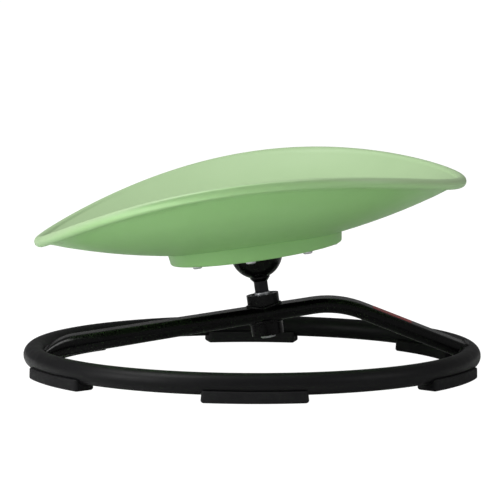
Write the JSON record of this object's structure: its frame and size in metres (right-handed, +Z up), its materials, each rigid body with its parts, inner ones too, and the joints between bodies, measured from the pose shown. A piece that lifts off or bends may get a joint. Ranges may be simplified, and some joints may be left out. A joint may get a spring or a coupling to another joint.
{
  "type": "spinning balance seat",
  "caption": "Saddle-shaped dish seat with a rolled rim that spins on a leaning bearing axis, carried by an oval arm across a tubular ring base on rubber feet.",
  "frame": {"origin": "on the floor, under the centre of the base ring", "axes": "+Z up; +X along the support arm, towards its short steep leg; the seat axis leans towards -X"},
  "size_m": [0.5493, 0.552, 0.2554],
  "materials": {
    "powder_coat_satin": "satin black powder coat",
    "powder_coat_gloss": "semi-gloss black powder coat",
    "seat_plastic": "fine-grained light green moulded plastic",
    "foot_rubber": "matte black rubber",
    "spindle_steel": "black oxide steel",
    "zinc_steel": "bright zinc plate",
    "bearing_steel": "ground bearing steel",
    "bearing_cage": "pressed brass",
    "bearing_seal": "black nitrile rubber",
    "insert_brass": "knurled brass",
    "label_red": "plain red vinyl label"
  },
  "bodies": {
    "base": {"base_ring": "powder_coat_satin", "support_arm": "powder_coat_gloss", "arm_weld_left": "powder_coat_gloss", "arm_weld_right": "powder_coat_gloss", "label_blank": "label_red", "bearing_sleeve": "powder_coat_gloss", "sleeve_weld_upper": "powder_coat_gloss", "sleeve_weld_lower": "powder_coat_gloss", "foot_screws": "zinc_steel", "foot_1": "foot_rubber", "foot_2": "foot_rubber", "foot_3": "foot_rubber", "foot_4": "foot_rubber", "foot_5": "foot_rubber", "foot_6": "foot_rubber", "upper_outer_race": "bearing_steel", "upper_seals": "bearing_seal", "lower_outer_race": "bearing_steel", "lower_seals": "bearing_seal"},
    "seat": {"seat_shell": "seat_plastic", "seat_plinth": "seat_plastic", "mounting_plate": "powder_coat_gloss", "plate_screws": "zinc_steel", "threaded_inserts": "insert_brass", "hub_dome": "powder_coat_gloss", "spindle": "spindle_steel", "shoulder_ring": "zinc_steel", "bearing_spacer": "zinc_steel", "end_washer": "zinc_steel", "lock_nut": "zinc_steel", "upper_inner_race": "bearing_steel", "lower_inner_race": "bearing_steel"},
    "upper_cage_set": {"upper_balls": "bearing_steel", "upper_cage": "bearing_cage"},
    "lower_cage_set": {"lower_balls": "bearing_steel", "lower_cage": "bearing_cage"}
  },
  "joints": [
    {"name": "seat_spin", "type": "hinge", "parent": "base", "child": "seat", "pos_m": [0.012, 0, 0.092], "axis": [-0.1461, 0, 0.9893], "continuous": true},
    {"name": "upper_cage_spin", "type": "hinge", "parent": "base", "child": "upper_cage_set", "pos_m": [0.01273, 0, 0.08705], "axis": [-0.1461, 0, 0.9893], "continuous": true},
    {"name": "lower_cage_spin", "type": "hinge", "parent": "base", "child": "lower_cage_set", "pos_m": [0.0185, 0, 0.04798], "axis": [-0.1461, 0, 0.9893], "continuous": true}
  ],
  "couplings": [
    {"joint": "upper_cage_spin", "follows": "seat_spin", "ratio": 0.4043},
    {"joint": "lower_cage_spin", "follows": "seat_spin", "ratio": 0.4043}
  ]
}
